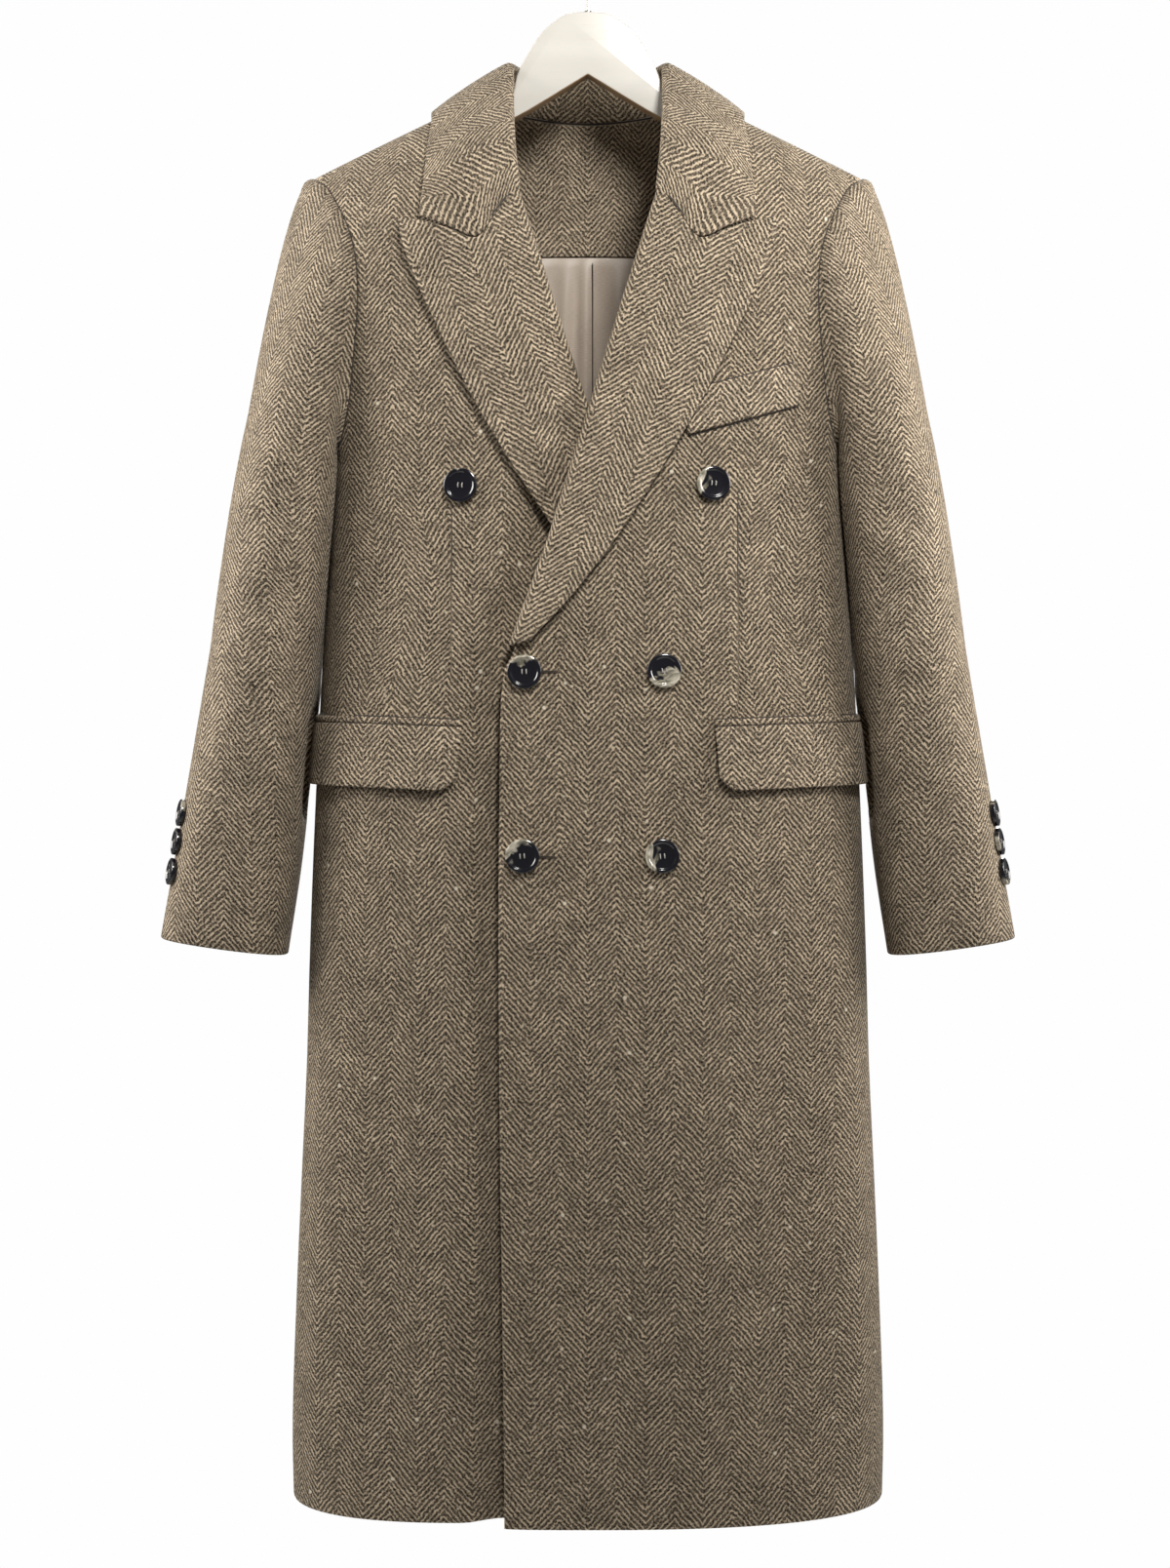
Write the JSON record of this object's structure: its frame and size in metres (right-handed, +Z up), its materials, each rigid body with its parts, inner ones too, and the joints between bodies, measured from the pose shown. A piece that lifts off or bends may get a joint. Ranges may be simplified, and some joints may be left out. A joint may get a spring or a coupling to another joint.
{
  "type": "double-breasted coat on a hanger",
  "caption": "Long double-breasted wool overcoat in herringbone cloth, with peak lapels, flap pockets and dark horn buttons, hanging open at the neck on a wooden hanger.",
  "frame": {"origin": "where the rail touches the inside of the hook's arch", "axes": "+Z up, -Y out of the coat's front, +X towards the wearer's left side"},
  "size_m": [0.7176, 0.227, 1.3317],
  "materials": {
    "wool": "matte woven herringbone",
    "lining": "soft satin",
    "horn": "polished",
    "wood": "pale satin varnish",
    "steel": "polished wire"
  },
  "bodies": {
    "root": {"back": "wool", "back_facing": "wool", "button_lower_left": "horn", "button_lower_right": "horn", "button_middle_left": "horn", "button_middle_right": "horn", "button_upper_left": "horn", "button_upper_right": "horn", "chest_welt": "wool", "collar": "wool", "cuff_button_left_1": "horn", "cuff_button_left_2": "horn", "cuff_button_left_3": "horn", "cuff_button_right_1": "horn", "cuff_button_right_2": "horn", "cuff_button_right_3": "horn", "flap_left": "wool", "flap_right": "wool", "front_left": "wool", "front_right": "wool", "hanger": "wood", "hanger_hook": "steel", "jetting_left": "wool", "jetting_right": "wool", "lapel_left": "wool", "lapel_right": "wool", "lining_back": "lining", "sleeve_top_left": "wool", "sleeve_top_right": "wool", "sleeve_under_left": "wool", "sleeve_under_right": "wool"}
  },
  "joints": []
}
